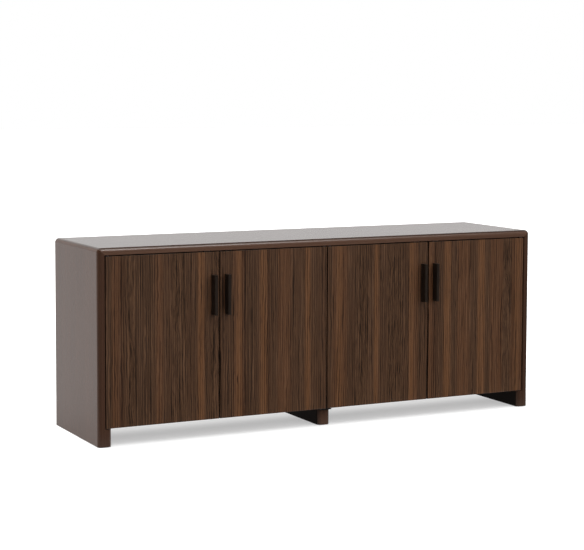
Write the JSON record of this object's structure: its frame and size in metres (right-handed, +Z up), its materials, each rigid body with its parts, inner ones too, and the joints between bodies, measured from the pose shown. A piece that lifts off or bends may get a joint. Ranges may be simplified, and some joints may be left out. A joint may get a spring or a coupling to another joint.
{
  "type": "office credenza",
  "caption": "Low office credenza: mitred top over slab sides, centre slab, paired pivot-hung doors with blade pulls, bays with adjustable shelves.",
  "frame": {"origin": "on the floor, under the middle of the overall box, pulls included", "axes": "+Z up, doors face -Y, +X along the length to the right as seen from the front"},
  "size_m": [1.8, 0.479, 0.7],
  "materials": {
    "veneer": "dark brown vertical-grain veneer with a satin lacquer",
    "inner_board": "matt dark brown board",
    "bronze": "dark bronze anodised",
    "steel": "zinc-plated",
    "black_steel": "black oxide",
    "nylon": "black moulded"
  },
  "bodies": {
    "carcass": {"top_panel": "veneer", "left_side_panel": "veneer", "right_side_panel": "veneer", "centre_partition": "veneer", "left_bottom_panel": "inner_board", "right_bottom_panel": "inner_board", "left_back_panel": "veneer", "right_back_panel": "veneer", "left_shelf": "inner_board", "right_shelf": "inner_board", "left_shelf_pin_1": "steel", "left_shelf_pin_2": "steel", "left_shelf_pin_3": "steel", "left_shelf_pin_4": "steel", "right_shelf_pin_1": "steel", "right_shelf_pin_2": "steel", "right_shelf_pin_3": "steel", "right_shelf_pin_4": "steel", "left_outer_top_bush": "nylon", "left_inner_top_bush": "nylon", "right_inner_top_bush": "nylon", "right_outer_top_bush": "nylon", "left_outer_catch": "nylon", "left_inner_catch": "nylon", "right_inner_catch": "nylon", "right_outer_catch": "nylon", "left_pivot_plate": "black_steel", "right_pivot_plate": "black_steel", "centre_pivot_plate": "black_steel", "left_front_glide": "nylon", "left_rear_glide": "nylon", "centre_front_glide": "nylon", "centre_rear_glide": "nylon", "right_front_glide": "nylon", "right_rear_glide": "nylon"},
    "left_outer_leaf": {"left_outer_door": "veneer", "left_outer_pull": "bronze", "left_outer_top_pin": "steel", "left_outer_bottom_bush": "nylon", "left_outer_strike": "steel"},
    "left_inner_leaf": {"left_inner_door": "veneer", "left_inner_pull": "bronze", "left_inner_top_pin": "steel", "left_inner_bottom_bush": "nylon", "left_inner_strike": "steel"},
    "right_inner_leaf": {"right_inner_door": "veneer", "right_inner_pull": "bronze", "right_inner_top_pin": "steel", "right_inner_bottom_bush": "nylon", "right_inner_strike": "steel"},
    "right_outer_leaf": {"right_outer_door": "veneer", "right_outer_pull": "bronze", "right_outer_top_pin": "steel", "right_outer_bottom_bush": "nylon", "right_outer_strike": "steel"}
  },
  "joints": [
    {"name": "left_outer_swing", "type": "hinge", "parent": "carcass", "child": "left_outer_leaf", "pos_m": [-0.863, -0.203, 0.368], "axis": [0, 0, -1], "range_deg": [0, 100]},
    {"name": "left_inner_swing", "type": "hinge", "parent": "carcass", "child": "left_inner_leaf", "pos_m": [-0.01, -0.203, 0.368], "axis": [0, 0, 1], "range_deg": [0, 85]},
    {"name": "right_inner_swing", "type": "hinge", "parent": "carcass", "child": "right_inner_leaf", "pos_m": [0.01, -0.203, 0.368], "axis": [0, 0, -1], "range_deg": [0, 85]},
    {"name": "right_outer_swing", "type": "hinge", "parent": "carcass", "child": "right_outer_leaf", "pos_m": [0.863, -0.203, 0.368], "axis": [0, 0, 1], "range_deg": [0, 100]}
  ]
}
